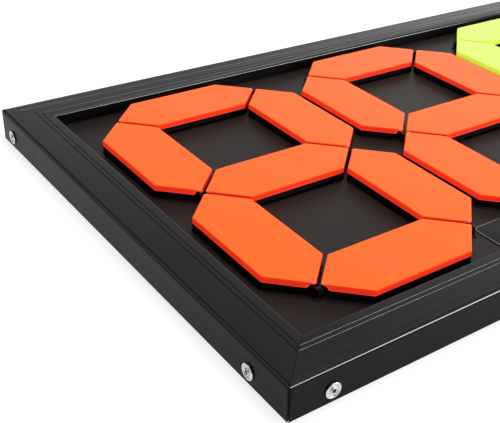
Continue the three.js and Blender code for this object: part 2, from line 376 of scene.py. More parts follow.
def plastic(name, deep, pale, roughness, grain=1500.0):
    """A matt black between two others, with so many grains in a metre."""
    finish = Finish(name, IOR=1.14)
    cloud = finish.noise(finish.place(), PLASTIC_CLOUDS, detail=3.0)
    fine = finish.noise(finish.place(), grain, detail=1.0)
    finish.feed("Base Color", finish.mix(cloud.ramp(*CLOUD_RAMP), deep, pale))
    finish.feed("Roughness", roughness - GRAIN_ROUGHNESS / 2 + GRAIN_ROUGHNESS * fine)
    finish.bump(fine, *PLASTIC_BUMP)
    return finish


panel_finish = plastic("warm black panel", deep=colour(0.0175, 0.0126, 0.0114),
                       pale=colour(0.0225, 0.0160, 0.0144), roughness=0.42)
post_finish = plastic("black posts", deep=colour(0.004, 0.0036, 0.0035),
                      pale=colour(0.006, 0.0054, 0.005), roughness=0.4)
back_finish = plastic("black half-shell", deep=colour(0.010, 0.009, 0.0088),
                      pale=colour(0.014, 0.0125, 0.012), roughness=0.45, grain=2200.0)
label_finish = plastic("label face", deep=colour(0.018, 0.018, 0.019),
                       pale=colour(0.022, 0.022, 0.023), roughness=0.4, grain=3000.0)
print(panel_finish.material.name, "nodes:", len(panel_finish.tree.nodes))

# %% [markdown]
# ## Fluorescent plastic, with painted light and shade
#
# The flaps are fluorescent orange and yellow, and their colour carries painted light and
# shade. The top face has the lit colour. Over the last half millimetre below the top it
# turns into a darker, redder colour, a painted shade of the sides that get less light, and
# the flap gives off a little painted light of its own, most on the sides, so that they
# stay a deep, bright red. The edges of the mouths and along the parting line get a paler
# painted highlight.
#
# All this depends on the place on the flap. A flap's Object coordinates change when its
# mesh is laid on the board, so each half-shell keeps the first ones as the attribute
# "home". Faces that look straight at another flap are marked with 1 and get painted
# shade there: a darker rim and less painted light, for the shade in the narrow gap.

# %% Where a coloured half-shell shows its lit face, its painted shade and its painted highlight
FACE_BELOW_TOP = (0.6, 0.15)            # where the face's colour starts and is full
# where the edges of the mouths and the parting line get a painted highlight
ARCH_HIGHLIGHT = (0.1, 0.5)                   # outside the mouth's radius
FOOT_HIGHLIGHT = (0.2, 0.55)                  # above the parting line
TIP_SHARE = (0.9, 0.92)                 # only this far out is an arch


def flap_masks(finish):
    """Two sockets: 1 on the lit face, and 1 on the edges that get a painted highlight."""
    along, across, up = finish.axes(finish.attribute("home", output="Vector"))
    face = up.ramp(*((FLAP_HALF_THICKNESS - depth) * MM for depth in FACE_BELOW_TOP))
    from_pin = (across * across + up * up).root()
    arch = 1.0 - from_pin.ramp(*((MOUTH_RADIUS + more) * MM for more in ARCH_HIGHLIGHT))
    at_tip = abs(along).ramp(*(tip_reach * share * MM for share in TIP_SHARE))
    foot = 1.0 - up.ramp(*(height * MM for height in FOOT_HIGHLIGHT))
    return face, (arch * at_tip + foot).held()


print("face's colour in the top", FACE_BELOW_TOP[0], "mm of", FLAP_HALF_THICKNESS)

# %% Finishes of the coloured half-shells, with painted light, shade and highlights
# the painted edge highlight's share of the pale colour and of painted light
HIGHLIGHT_SHARE = 0.35                        # how much of the pale colour a cut edge shows
HIGHLIGHT_GLOW = 0.05
# the face gives off less painted light than the sides
FACE_GLOW = 0.3                         # beside the rim's 1
FLAP_CLOUDS = 22.0
FLAP_GRAIN = 1900.0
FLAP_ROUGHNESS = 0.30
FLAP_CLOUD_ROUGHNESS = 0.06
FLAP_GRAIN_ROUGHNESS = 0.05
FLAP_BUMP = (0.12, 0.00004)


def fluorescent(name, face, rim, glow, pale, seam_shade_rim, seam_shade_glow):
    """A finish from the lit face, the rim's painted shade, painted light and a painted
    highlight, and what is left of rim and light in the shade between flaps.
    """
    finish = Finish(name, IOR=1.13, Emission_Strength=1.0)
    on_lit_face, painted_edge_highlight = flap_masks(finish)
    # painted shade where a face looks into the narrow gap to another flap
    seam = finish.attribute("seam")
    side = finish.mix(seam, rim, dimmed(rim, seam_shade_rim))
    # Base colour: the lit face, the painted shade of the rim, darker still between flaps, and
    # the paler painted highlight on the edges.
    finish.feed("Base Color",
                finish.mix(painted_edge_highlight * HIGHLIGHT_SHARE, finish.mix(on_lit_face, side, face), pale))
    # Emission: painted light, strongest on the sides, less on the face and between flaps,
    # paler on the highlighted edges.
    given = finish.mix(on_lit_face, finish.mix(seam, glow, dimmed(glow, seam_shade_glow)),
                       dimmed(glow, FACE_GLOW))
    finish.feed("Emission Color", finish.mix(painted_edge_highlight * HIGHLIGHT_GLOW, given, pale))
    cloud = finish.noise(finish.place(), FLAP_CLOUDS, detail=2.0)
    fine = finish.noise(finish.place(), FLAP_GRAIN, detail=1.0)
    finish.feed("Roughness",
                FLAP_ROUGHNESS + FLAP_CLOUD_ROUGHNESS * cloud + FLAP_GRAIN_ROUGHNESS * fine)
    finish.bump(fine, *FLAP_BUMP)
    return finish


# face is the lit top, rim the painted shade of the sides, the glow painted light though a
# flap is no lamp, pale the painted edge highlight.
orange_finish = fluorescent(
    "fluorescent orange", face=colour(1.0, 0.139, 0.015), rim=colour(0.60, 0.028, 0.006),
    glow=colour(0.68, 0.022, 0.008), pale=colour(1.0, 0.42, 0.30),
    seam_shade_rim=0.65, seam_shade_glow=0.5)
yellow_finish = fluorescent(
    "fluorescent yellow", face=colour(0.53, 0.76, 0.132), rim=colour(0.50, 0.80, 0.060),
    glow=colour(0.46, 0.68, 0.03), pale=colour(0.90, 1.0, 0.50),
    seam_shade_rim=0.8, seam_shade_glow=0.6)
print("coloured:", orange_finish.material.name, "and", yellow_finish.material.name)

# %% [markdown]
# ## Small metal pieces
#
# The rivets are bright aluminium, their mandrels blackened steel, and the brackets inside
# the corners are left as sawn. The label has a worn grey border. Each could have a finish
# of its own, but on pieces of a few millimetres nobody would see the difference. So one
# function makes them all: a grey that drifts between a dark and a pale one and is rougher
# where it is pale.

# %% Finishes of the small metal pieces
def mottled(name, scale, dark, pale, roughness, rougher, stretch=(1, 1, 1), bump=None,
            **settings):
    """A finish between two colours, from roughness to roughness + rougher."""
    finish = Finish(name, **settings)
    pattern = finish.noise(finish.place(stretch), scale)
    finish.feed("Base Color", finish.mix(pattern, dark, pale))
    finish.feed("Roughness", roughness + rougher * pattern)
    if bump:
        finish.bump(pattern, *bump)
    return finish


rivet_finish = mottled(
    "bright rivet", scale=900.0, dark=colour(0.52, 0.52, 0.53), pale=colour(0.74, 0.74, 0.74),
    roughness=0.14, rougher=0.14, bump=(0.2, 0.00006), Metallic=1.0)
mandrel_finish = mottled(
    "blackened steel mandrel", scale=1500.0, dark=colour(0.004, 0.004, 0.004),
    pale=colour(0.012, 0.011, 0.011), roughness=0.4, rougher=0.2, IOR=1.3)
sawn_finish = mottled(
    "sawn aluminium", scale=700.0, dark=colour(0.42, 0.43, 0.44),
    pale=colour(0.58, 0.59, 0.60), roughness=0.35, rougher=0.2, stretch=(1, 1, 9),
    bump=(0.3, 0.0001), Metallic=1.0)
border_finish = mottled(
    "label border", scale=900.0, dark=colour(0.05, 0.05, 0.052),
    pale=colour(0.08, 0.08, 0.083), roughness=0.35, rougher=0.1)
print("materials so far:", len(bpy.data.materials))

# %% [markdown]
# ## Helpers for shapes
#
# A mesh is made at the origin and every corner is put in its place, so the object itself
# never moves. Modifiers do part of the work. They could stay on the object, but then no
# later step could use the shape they make, so each is applied at once: the mesh that the
# object shows is kept and the object is thrown away.

# %% Turning objects into meshes and back
def shown(name, mesh, *finishes):
    """Links mesh as an object named name, with these finishes if there are any."""
    if finishes:
        mesh.materials.clear()
        for finish in finishes:
            mesh.materials.append(finish.material)
    return linked(name, mesh)


def evaluated(obj):
    """The mesh of obj with its modifiers applied. obj is removed."""
    bpy.context.view_layer.update()
    graph = bpy.context.evaluated_depsgraph_get()
    mesh = bpy.data.meshes.new_from_object(obj.evaluated_get(graph), depsgraph=graph)
    bpy.data.objects.remove(obj)
    return mesh


def from_shape(shape, name):
    """The mesh of a bmesh, which is freed."""
    mesh = bpy.data.meshes.new(name)
    shape.to_mesh(mesh)
    shape.free()
    return mesh


def smooth_under(mesh, degrees):
    """Smooth shading, with edges sharper than this kept crisp."""
    for polygon in mesh.polygons:
        polygon.use_smooth = True
    mesh.set_sharp_from_angle(angle=math.radians(degrees))


def evenly_shaded(mesh):
    """The mesh with normals weighted by area, so that wide faces look flat."""
    obj = shown("blank", mesh)
    obj.modifiers.new("even shading", "WEIGHTED_NORMAL").keep_sharp = True
    return evaluated(obj)


# %% [markdown]
# ## Outlines
#
# Most pieces start as a flat outline with round corners: the flaps, their windows, the
# rails' section, the label. Drawing every round point by point hides the sizes in long
# lists. So an outline is written as its sharp corners, each with a radius, and one
# function rounds them all.

# %% Outlines with round corners
def rounded(corners, steps):
    """A closed outline of (x, y, radius) corners, each rounded by this many sides."""
    points = []
    count = len(corners)
    for i, (x, y, radius) in enumerate(corners):
        corner = Vector((x, y))
        if not radius:
            points.append(corner)
            continue
        before = (Vector(corners[i - 1][:2]) - corner).normalized()
        after = (Vector(corners[(i + 1) % count][:2]) - corner).normalized()
        half = before.angle(after) / 2
        centre = corner + (before + after).normalized() * radius / math.sin(half)
        start = corner + before * radius / math.tan(half) - centre
        side = -1 if before.x * after.y - before.y * after.x > 0 else 1
        turn = (math.pi - 2 * half) * side
        for k in range(steps + 1):
            points.append(centre + Matrix.Rotation(turn * k / steps, 2) @ start)
    return points


def hexagon(reach, half_width, radius=0, blunt=0):
    """A long hexagon along X with square-cut slants, its tips cut off by blunt."""
    shoulder = reach - half_width
    end = [(reach - blunt, -blunt, 0), (reach - blunt, blunt, 0)]
    if not blunt:
        end = [(reach, 0, radius)]
    half = [(shoulder, -half_width, radius), *end, (shoulder, half_width, radius)]
    return half + [(-x, -y, r) for x, y, r in half]


def rectangle(half_x, half_y, radius=0):
    """A rectangle about the middle."""
    return [(-half_x, -half_y, radius), (half_x, -half_y, radius),
            (half_x, half_y, radius), (-half_x, half_y, radius)]


print("points of a rounded hexagon:", len(rounded(hexagon(3, 1, 0.1), 4)))

# %% [markdown]
# ## A small class for Geometry Nodes
#
# Geometry Nodes keep a shape's rule, so that it can be changed by its sizes. The class
# makes the tree's named inputs and takes nodes as every net does. At the end of each tree
# the instances are made real and given a material, because the export drops instances.

# %% Trees of Geometry Nodes
class Rule(Net):
    """A rule for a shape, with named inputs."""

    KINDS = {"float": "NodeSocketFloat", "object": "NodeSocketObject",
             "material": "NodeSocketMaterial"}

    def __init__(self, name, **inputs):
        super().__init__(bpy.data.node_groups.new(name, "GeometryNodeTree"))
        face = self.tree.interface
        face.new_socket("Geometry", in_out="INPUT", socket_type="NodeSocketGeometry")
        face.new_socket("Geometry", in_out="OUTPUT", socket_type="NodeSocketGeometry")
        self.ids = {}
        for title, kind in inputs.items():
            socket = face.new_socket(title, in_out="INPUT", socket_type=self.KINDS[kind])
            self.ids[title] = socket.identifier
        self.entry = self.tree.nodes.new("NodeGroupInput")

    def given(self, title="Geometry"):
        return Sock(self.tree, self.entry.outputs[title])

    def object_given(self, title):
        """The shape of an object input."""
        return self.node("GeometryNodeObjectInfo", sockets={"Object": self.given(title)},
                         output="Geometry")

    def end(self, geometry):
        """Makes instances real, gives the material and ends the tree."""
        real = self.node("GeometryNodeRealizeInstances", sockets={"Geometry": geometry})
        painted = self.node("GeometryNodeSetMaterial", sockets={
            "Geometry": real, "Material": self.given("Material")})
        output = self.tree.nodes.new("NodeGroupOutput")
        plug(self.tree, output.inputs["Geometry"], painted)

    def applied(self, mesh, **values):
        """The plain mesh that the rule makes out of mesh with these inputs."""
        obj = shown("blank", mesh)
        modifier = obj.modifiers.new("rule", "NODES")
        modifier.node_group = self.tree
        for title, value in values.items():
            modifier[self.ids[title]] = value
        return evaluated(obj)


def wire(points, closed=True):
    """A mesh of edges only, through these points in millimetres."""
    mesh = bpy.data.meshes.new("wire")
    count = len(points)
    edges = [(i, (i + 1) % count) for i in range(count if closed else count - 1)]
    mesh.from_pydata([Vector(p).to_3d() * MM for p in points], edges, [])
    return mesh


print("kinds of input:", ", ".join(Rule.KINDS))

# %% [markdown]
# ## The flaps
#
# A flap's outline is a long hexagon, so that seven of them close up to an 8. Its edges
# could be rounded by a Bevel modifier, but that fails where the mouths cut through them.
# The rule below builds the shape in the order of a workshop instead. It rounds the
# outline's corners, sweeps the side's profile along it, closes the top and the bottom,
# and then bores out the two ends: an arch for the post and a bore for the pin.

# %% The rule of a half-shell: side, top and bottom
CORNER_STEPS = 6
WELD = 0.005

shell_rule = Rule("half-shell", Corner="float", Low="float", High="float", Mouth="float",
                  Mouth_place="float", Bore="float", Bore_place="float", Profile="object",
                  Material="material")


def lifted(rule, geometry, height):
    """A copy of the geometry at this height."""
    place = rule.node("ShaderNodeCombineXYZ", sockets={"Z": height})
    return rule.node("GeometryNodeTransform", sockets={
        "Geometry": geometry, "Translation": place})


path = shell_rule.node("GeometryNodeMeshToCurve", sockets={"Mesh": shell_rule.given()})
path = shell_rule.node("GeometryNodeFilletCurve", {"mode": "POLY"}, {
    "Curve": path, "Count": CORNER_STEPS, "Radius": shell_rule.given("Corner")})
path = shell_rule.node("GeometryNodeSetCurveNormal", {"mode": "Z_UP"}, {"Curve": path})
profile = shell_rule.node("GeometryNodeMeshToCurve", sockets={
    "Mesh": shell_rule.object_given("Profile")})
wall = shell_rule.node("GeometryNodeCurveToMesh", sockets={
    "Curve": path, "Profile Curve": profile})
lid = shell_rule.node("GeometryNodeFillCurve", {"mode": "NGONS"}, {"Curve": path})
top_lid = lifted(shell_rule, lid, shell_rule.given("High"))
low_lid = shell_rule.node("GeometryNodeFlipFaces", sockets={
    "Mesh": lifted(shell_rule, lid, shell_rule.given("Low"))})
body = shell_rule.node("GeometryNodeJoinGeometry", sockets={
    "Geometry": [low_lid, top_lid, wall]})
body = shell_rule.node("GeometryNodeMergeByDistance", sockets={
    "Geometry": body, "Distance": WELD * MM})
print("half-shell rule, first nodes:", len(shell_rule.tree.nodes))

# %% The rule of a half-shell: mouths and bores
MOUTH_SIDES = 40
ROD_LENGTH = 12                         # long enough to leave the tip on both sides

cutters = []
for radius, middle in (("Mouth", "Mouth_place"), ("Bore", "Bore_place")):
    for sign in (1, -1):
        rod = shell_rule.node("GeometryNodeMeshCylinder", sockets={
            "Vertices": MOUTH_SIDES, "Radius": shell_rule.given(radius),
            "Depth": ROD_LENGTH * MM})
        spot = shell_rule.node("ShaderNodeCombineXYZ", sockets={
            "X": shell_rule.given(middle) * sign})
        cutters.append(shell_rule.node("GeometryNodeTransform", sockets={
            "Geometry": rod, "Translation": spot, "Rotation": (0, math.pi / 2, 0)}))
cut = shell_rule.node("GeometryNodeMeshBoolean",
                      {"operation": "DIFFERENCE", "solver": "EXACT"},
                      {"Mesh 1": body, "Mesh 2": cutters})
cut = shell_rule.node("GeometryNodeStoreNamedAttribute", {"data_type": "FLOAT_VECTOR"}, {
    "Geometry": cut, "Name": "home", "Value": shell_rule.node("GeometryNodeInputPosition")})
shell_rule.end(cut)
print("half-shell rule, all nodes:", len(shell_rule.tree.nodes))

# %% [markdown]
# Both halves use the rule, each with its own profile. A profile is the side seen in
# section, from the bottom lid's rim to the top lid's: a quarter round on the outside edge
# and a small ease at the parting line, where the two halves meet. The outline is drawn
# inside by the edge's radius and the profile reaches out again, so that the lids end where
# the round begins. The sweep lays a profile's own Y downwards, so the section is drawn
# upside down and from its top.

# %% Two half-shells
PROFILE_STEPS = 5
PIN_RADIUS = 1.1
PIN_LENGTH = 8
PIN_CLEARANCE = 0.3
CRISP_FLAP_EDGE = 35                    # degrees


def arc(centre, radius, start, end, steps):
    """Points on a circle from one angle in degrees to another."""
    angles = [math.radians(start + (end - start) * k / steps) for k in range(steps + 1)]
    return [Vector((centre[0] + radius * math.cos(angle),
                    centre[1] + radius * math.sin(angle))) for angle in angles]


def flap_section(low, high, low_edge, high_edge):
    """The side of a half-shell from low to high, outside the lids' rim."""
    section = [Vector((0, low)),
               *arc((FLAP_EDGE - low_edge, low + low_edge), low_edge, -90, 0, PROFILE_STEPS),
               *arc((FLAP_EDGE - high_edge, high - high_edge), high_edge, 0, 90,
                    PROFILE_STEPS)]
    if high_edge < FLAP_EDGE:
        section.append(Vector((0, high)))
    return section


def half_shell(low, high, low_edge, high_edge, finish):
    """The mesh of a half-shell along X about its pivot line, between two heights."""
    outline = hexagon(tip_reach - FLAP_EDGE * math.sqrt(2), FLAP_HALF_WIDTH - FLAP_EDGE)
    section = flap_section(low, high, low_edge, high_edge)
    rim = shown("rim", wire([(x, -z) for x, z in reversed(section)], closed=False))
    mesh = shell_rule.applied(
        wire([(x, y) for x, y, _ in outline]), Profile=rim, Material=finish.material,
        Corner=(FLAP_CORNER - FLAP_EDGE) * MM, Low=low * MM, High=high * MM,
        Mouth=MOUTH_RADIUS * MM,
        Mouth_place=(tip_reach - MOUTH_DEPTH + ROD_LENGTH / 2) * MM,
        Bore=(PIN_RADIUS + PIN_CLEARANCE) * MM,
        Bore_place=(NODE_SPACING / 2 - PIN_LENGTH - PIN_CLEARANCE + ROD_LENGTH / 2) * MM)
    bpy.data.objects.remove(rim)
    smooth_under(mesh, CRISP_FLAP_EDGE)
    return evenly_shaded(mesh)


cap_mesh = {name: half_shell(0, FLAP_HALF_THICKNESS, PARTING_EDGE, FLAP_EDGE, finish)
            for name, finish in (("orange", orange_finish), ("yellow", yellow_finish))}
base_mesh = half_shell(-FLAP_HALF_THICKNESS, 0, FLAP_EDGE, PARTING_EDGE, back_finish)
print("half-shell faces:", len(cap_mesh["orange"].polygons), len(base_mesh.polygons))

# %% [markdown]
# Each flap's place comes from its joint: the point on the pivot line and the line's own
# direction. All 28 could share three meshes, but the corners have to lie in their final
# places and every flap has its own neighbours, so each gets a copy. The coloured half and
# the black half ride on the same body.

# %% Lay the flaps on the panel
SEAM_LOOK = 2.4                         # a neighbour this near shades a face
NEIGHBOUR_REACH = 1.2                   # in spacings, between the middles of two flaps


def flap_turn(joint):
    """The angle of a flap's long line: none along X, a quarter turn along Y."""
    return math.pi / 2 if abs(joint["axis"][1]) > 0.5 else 0


def flap_place(joint):
    """The matrix that lays a flap, drawn along X, on its pivots."""
    return Matrix.Translation(joint["pos_m"]) @ Matrix.Rotation(flap_turn(joint), 4, "Z")


def neighbours(joint):
    """The way back from the board to each flap near this one."""
    return [flap_place(other).inverted() for other in frame["joints"] if other is not joint
            and (Vector(other["pos_m"]) - Vector(joint["pos_m"])).length
            < NODE_SPACING * NEIGHBOUR_REACH * MM]


def mark_seam_shade(mesh, place, ways_back):
    """Marks the faces that look straight at another flap, which get painted shade."""
    marks = mesh.attributes.new("seam", "FLOAT", "FACE")
    for polygon in mesh.polygons:
        ahead = place @ (polygon.center + polygon.normal * SEAM_LOOK * MM)
        spots = [back @ ahead / MM for back in ways_back]
        marks.data[polygon.index].value = float(any(
            abs(x) + abs(y) < tip_reach and abs(y) < FLAP_HALF_WIDTH for x, y, _ in spots))


for joint in frame["joints"]:
    flap = joint["child"].replace("flap_", "")
    place = flap_place(joint)
    warm = flap.startswith(("digit1", "digit2"))
    cap = shown("cap_" + flap, cap_mesh["orange" if warm else "yellow"].copy())
    base = shown("base_" + flap, base_mesh.copy())
    # painted shade on the faces that look into the gaps between flaps
    mark_seam_shade(cap.data, place, neighbours(joint))
    for half in (cap, base):
        half.data.transform(place)
        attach(half, joint["child"])
        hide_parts(flap)

# %% [markdown]
# ## The panel
#
# A flat sheet with a window under every flap, so that the flap can swing through. Cutting
# 28 windows by Boolean is slow and leaves odd triangles. A flat curve with holes is
# quicker: its outline and windows are drawn as closed lines, it fills itself, and its
# thickness and eased edges are two numbers.

# %% Plates from flat curves
WELD_PLATE = 0.002


def flat_curve(name, outlines, thickness, ease):
    """A plate of closed outlines in millimetres, centred on z = 0."""
    data = bpy.data.curves.new(name, "CURVE")
    data.dimensions = "2D"
    data.fill_mode = "BOTH"
    data.extrude = (thickness / 2 - ease) * MM
    data.bevel_depth = ease * MM
    data.bevel_resolution = 1
    data.offset = -ease * MM
    for outline in outlines:
        spline = data.splines.new("POLY")
        spline.points.add(len(outline) - 1)
        for point, spot in zip(spline.points, outline):
            point.co = (spot[0] * MM, spot[1] * MM, 0, 1)
        spline.use_cyclic_u = True
    return evaluated(linked(name, data))


def plate(name, outlines, thickness, bottom, ease, crisp):
    """A closed plate that stands on the height bottom, crisp over so many degrees."""
    mesh = flat_curve(name, outlines, thickness, ease)
    shape = bmesh.new()
    shape.from_mesh(mesh)
    bmesh.ops.remove_doubles(shape, verts=shape.verts, dist=WELD_PLATE * MM)
    bmesh.ops.recalc_face_normals(shape, faces=shape.faces)
    shape.to_mesh(mesh)
    shape.free()
    mesh.transform(Matrix.Translation((0, 0, (bottom + thickness / 2) * MM)))
    smooth_under(mesh, crisp)
    return mesh


print("plates are welded at", WELD_PLATE, "mm")

# %% Panel with its windows
WINDOW_CLEARANCE = 0.9                  # beside a flap
WEB_WIDTH = 1.8                         # what stays between two windows' slants
WINDOW_BLUNT = 1.9
WINDOW_STEPS = 5
PANEL_THICKNESS = 2
PANEL_EASE = 0.05
CRISP_PANEL_EDGE = 20

panel_low, panel_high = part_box("display_panel")
panel_bottom_z = panel_low.z / MM
panel_top_z = panel_bottom_z + PANEL_THICKNESS
panel_half = Vector((panel_high.x, panel_high.y)) / MM
window = rounded(hexagon(
    NODE_SPACING / 2 - WEB_WIDTH / math.sqrt(2), FLAP_HALF_WIDTH + WINDOW_CLEARANCE,
    FLAP_CORNER, WINDOW_BLUNT + (FLAP_SEAM - WEB_WIDTH) / math.sqrt(2)), WINDOW_STEPS)
outlines = [[(x, y) for x, y, _ in rectangle(*panel_half)]]
for joint in frame["joints"]:
    turn = Matrix.Rotation(flap_turn(joint), 2)
    middle = Vector(joint["pos_m"][:2]) / MM
    outlines.append([turn @ point + middle for point in window])
panel = shown("panel_sheet", plate("panel", outlines, PANEL_THICKNESS, panel_bottom_z,
                                   PANEL_EASE, CRISP_PANEL_EDGE), panel_finish)
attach(panel, "frame")
print("panel from", round(panel_bottom_z, 3), "faces:", len(panel.data.polygons))

# %% [markdown]
# ## Posts and pins
#
# Where flaps meet, a post stands on the panel and holds a pin for each of them. The same
# turned shape repeats 24 times and the pin 56 times. Copying objects in a loop would make
# 80 of them, so both are placed by one rule: an instance on each point, turned by the
# point's own attribute. The turned shapes themselves are rings of corners round Z.

# %% The rule that repeats a piece on points
scatter_rule = Rule("piece on points", Piece="object", Material="material")
turns = scatter_rule.node("GeometryNodeInputNamedAttribute", {"data_type": "FLOAT_VECTOR"},
                          {"Name": "turn"})
turns = scatter_rule.node("FunctionNodeEulerToRotation", sockets={"Euler": turns})
scatter_rule.end(scatter_rule.node("GeometryNodeInstanceOnPoints", sockets={
    "Points": scatter_rule.given(), "Instance": scatter_rule.object_given("Piece"),
    "Rotation": turns}))


def repeated_piece(name, part_mesh, spots, finish):
    """One mesh with part_mesh at every (place in millimetres, turn) of spots."""
    points = bpy.data.meshes.new("points")
    points.from_pydata([Vector(place) * MM for place, _ in spots], [], [])
    points.attributes.new("turn", "FLOAT_VECTOR", "POINT")
    for entry, (_, turn) in zip(points.attributes["turn"].data, spots):
        entry.vector = turn
    part = shown("part", part_mesh)
    mesh = scatter_rule.applied(points, Piece=part, Material=finish.material)
    bpy.data.objects.remove(part)
    return shown(name, mesh)


print(scatter_rule.tree.name, "nodes:", len(scatter_rule.tree.nodes))

# %% Turned shapes
CRISP_TURNED_EDGE = 40


def turned_shape(profile, sides):
    """A closed turned shape about Z from (radius, height) points in millimetres."""
    shape = bmesh.new()
    rings = []
    for radius, height in profile:
        if radius == 0:
            rings.append([shape.verts.new((0, 0, height * MM))])
            continue
        rings.append([shape.verts.new((radius * MM * math.cos(math.tau * k / sides),
                                       radius * MM * math.sin(math.tau * k / sides),
                                       height * MM)) for k in range(sides)])
    for first, second in zip(rings, rings[1:]):
        for k in range(sides):
            n = (k + 1) % sides
            corners = [first[k % len(first)], first[n % len(first)],
                       second[n % len(second)], second[k % len(second)]]
            shape.faces.new(dict.fromkeys(corners))
    bmesh.ops.recalc_face_normals(shape, faces=shape.faces)
    mesh = from_shape(shape, "turned")
    smooth_under(mesh, CRISP_TURNED_EDGE)
    return mesh


def heights_from(level, steps):
    """Steps of a profile, (radius, height), counted from a level."""
    return [(radius, level + height) for radius, height in steps]


print("crisp over", CRISP_TURNED_EDGE, "degrees")

# %% Posts and pins
POST_RADIUS = 1.15
POST_CAP = 1.4                          # top of a post above the pivot line
POST_SIDES = 28
FOOT_RADIUS = 2.6
FOOT_STEPS = [(0, -1), (FOOT_RADIUS, -1), (FOOT_RADIUS, 0.25), (FOOT_RADIUS - 0.1, 0.35),
              (POST_RADIUS + 0.6, 0.45), (POST_RADIUS + 0.15, 0.75), (POST_RADIUS, 1.2)]
CAP_STEPS = [(POST_RADIUS, -0.35), (POST_RADIUS - 0.1, -0.12), (POST_RADIUS - 0.35, 0),
             (0, 0)]
PIN_SIDES = 20
PIN_STEPS = [(PIN_RADIUS, -0.4), (PIN_RADIUS - 0.12, -0.12), (PIN_RADIUS - 0.4, 0), (0, 0)]

post_spots = {}
pin_spots = []
for joint in frame["joints"]:
    middle = Vector(joint["pos_m"]) / MM
    along = Vector(joint["axis"])
    for sign in (1, -1):
        spot = middle + along * sign * NODE_SPACING / 2
        post_spots[tuple(round(v, 2) for v in spot)] = (spot, (0, 0, 0))
        inward = along * -sign
        pin_spots.append((spot, (0, math.pi / 2, math.atan2(inward.y, inward.x))))
post_profile = (heights_from(panel_top_z - pivot_z, FOOT_STEPS)
                + heights_from(POST_CAP, CAP_STEPS))
pin_profile = [(0, 0), (PIN_RADIUS, 0)] + heights_from(PIN_LENGTH, PIN_STEPS)
posts = repeated_piece("pivot_posts", turned_shape(post_profile, POST_SIDES),
                       list(post_spots.values()), post_finish)
pins = repeated_piece("pivot_pins", turned_shape(pin_profile, PIN_SIDES), pin_spots,
                      post_finish)
for obj in (posts, pins):
    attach(obj, "frame")
for obj in (panel, posts, pins):
    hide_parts("display_panel")
print("posts:", len(post_spots), "pins:", len(pin_spots))

# %% [markdown]
# ## The rails
#
# A rail is one long extrusion: a hollow section with a rounded outer edge, a wide face,
# a narrow band between two fine lines, and a lip towards the panel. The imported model's
# lip is one straight slope. Here it stays nearly level and ends in a wide round at the
# same height, because it is as bright as the wide face in the photograph.
#
# The section has an outline and a chamber. Handling rubs its outer edge, the lip's round
# and the inner sides of the two lines, which is noted face by face as "polish".

# %% Section of a rail
RAIL_DEPTH = 19
RAIL_WALL = 1.5
WIDE_FACE = 15.5
BAND_FACE = 2.7
LIP_FACE = 5.7
LIP_DROP = 0.15                         # the lip's fall before its round
RAIL_FACE = WIDE_FACE + BAND_FACE + LIP_FACE
OUTER_ROUND = 2
LIP_ROUND = 1.3
HEEL_ROUND = 0.4
LINE_WIDTH = 0.5
LINE_DEPTH = 0.45
LINE_EASE = 0.1
PANEL_GRIP = 3.6                        # the panel's edge inside the rail
GROOVE_CLEARANCE = 0.3
CHAMBER_CUT = 1
SECTION_STEPS = 6
RUBBED_EDGE = (0.2, 1.0)                # depths below the top
RUBBED_LIP = (0.55, 1.1)


def fine_line(middle, drop=0):
    """The corners of a fine line from its inner side to its outer one."""
    return [(middle + LINE_WIDTH / 2, RAIL_DEPTH - drop, LINE_EASE),
            (middle, RAIL_DEPTH - LINE_DEPTH, LINE_EASE / 2),
            (middle - LINE_WIDTH / 2, RAIL_DEPTH, LINE_EASE)]


def rail_section():
    """The outline and the chamber, as points at (distance in, height)."""
    groove_top = panel_top_z + GROOVE_CLEARANCE
    groove_bottom = panel_bottom_z - GROOVE_CLEARANCE
    groove_end = RAIL_FACE - PANEL_GRIP - GROOVE_CLEARANCE
    outline = [
        (0, 0, HEEL_ROUND), (RAIL_FACE, 0, HEEL_ROUND), (RAIL_FACE, groove_bottom, 0),
        (groove_end, groove_bottom, 0), (groove_end, groove_top, 0),
        (RAIL_FACE, groove_top, 0), (RAIL_FACE, RAIL_DEPTH - LIP_DROP, LIP_ROUND),
        *fine_line(WIDE_FACE + BAND_FACE, LIP_DROP / LIP_FACE * LINE_WIDTH / 2),
        *fine_line(WIDE_FACE), (0, RAIL_DEPTH, OUTER_ROUND)]
    chamber_end = groove_end - RAIL_WALL
    roof = RAIL_DEPTH - RAIL_WALL
    chamber = [(RAIL_WALL, RAIL_WALL), (chamber_end, RAIL_WALL), (chamber_end, roof),
               (RAIL_WALL + CHAMBER_CUT, roof), (RAIL_WALL, roof - CHAMBER_CUT)]
    return rounded(outline, SECTION_STEPS), [Vector(corner) for corner in chamber]


def rubbed(spot):
    """Whether handling has polished the section at this place."""
    inward, height = spot
    drop = RAIL_DEPTH - height
    line = any(0 < inward - place < LINE_WIDTH / 2 and 0 < drop < LINE_DEPTH
               for place in (WIDE_FACE, WIDE_FACE + BAND_FACE))
    edge = inward < OUTER_ROUND and RUBBED_EDGE[0] < drop < RUBBED_EDGE[1]
    lip = inward > RAIL_FACE - LIP_ROUND and RUBBED_LIP[0] < drop < RUBBED_LIP[1]
    return line or edge or lip


print("section: outline and chamber of", [len(part) for part in rail_section()], "points")

# %% [markdown]
# The section could be swept along a rectangle, but then the four rails would be one
# piece. Each rail is drawn alone instead, between two mitres: every corner of the section
# ends short by its distance from the outer wall. The UV map is written along with the
# faces, in metres along the rail and around the section.

# %% The faces of a rail
MITRE_GAP = 0.3                         # the hair line between two rails


def mitred_ring(shape, outline, end, length, out):
    """The corners of an outline at one end, which is -1 or 1."""
    return [shape.verts.new(Vector((end * (length / 2 - inward - MITRE_GAP / 2),
                                    inward - out, height)) * MM)
            for inward, height in outline]


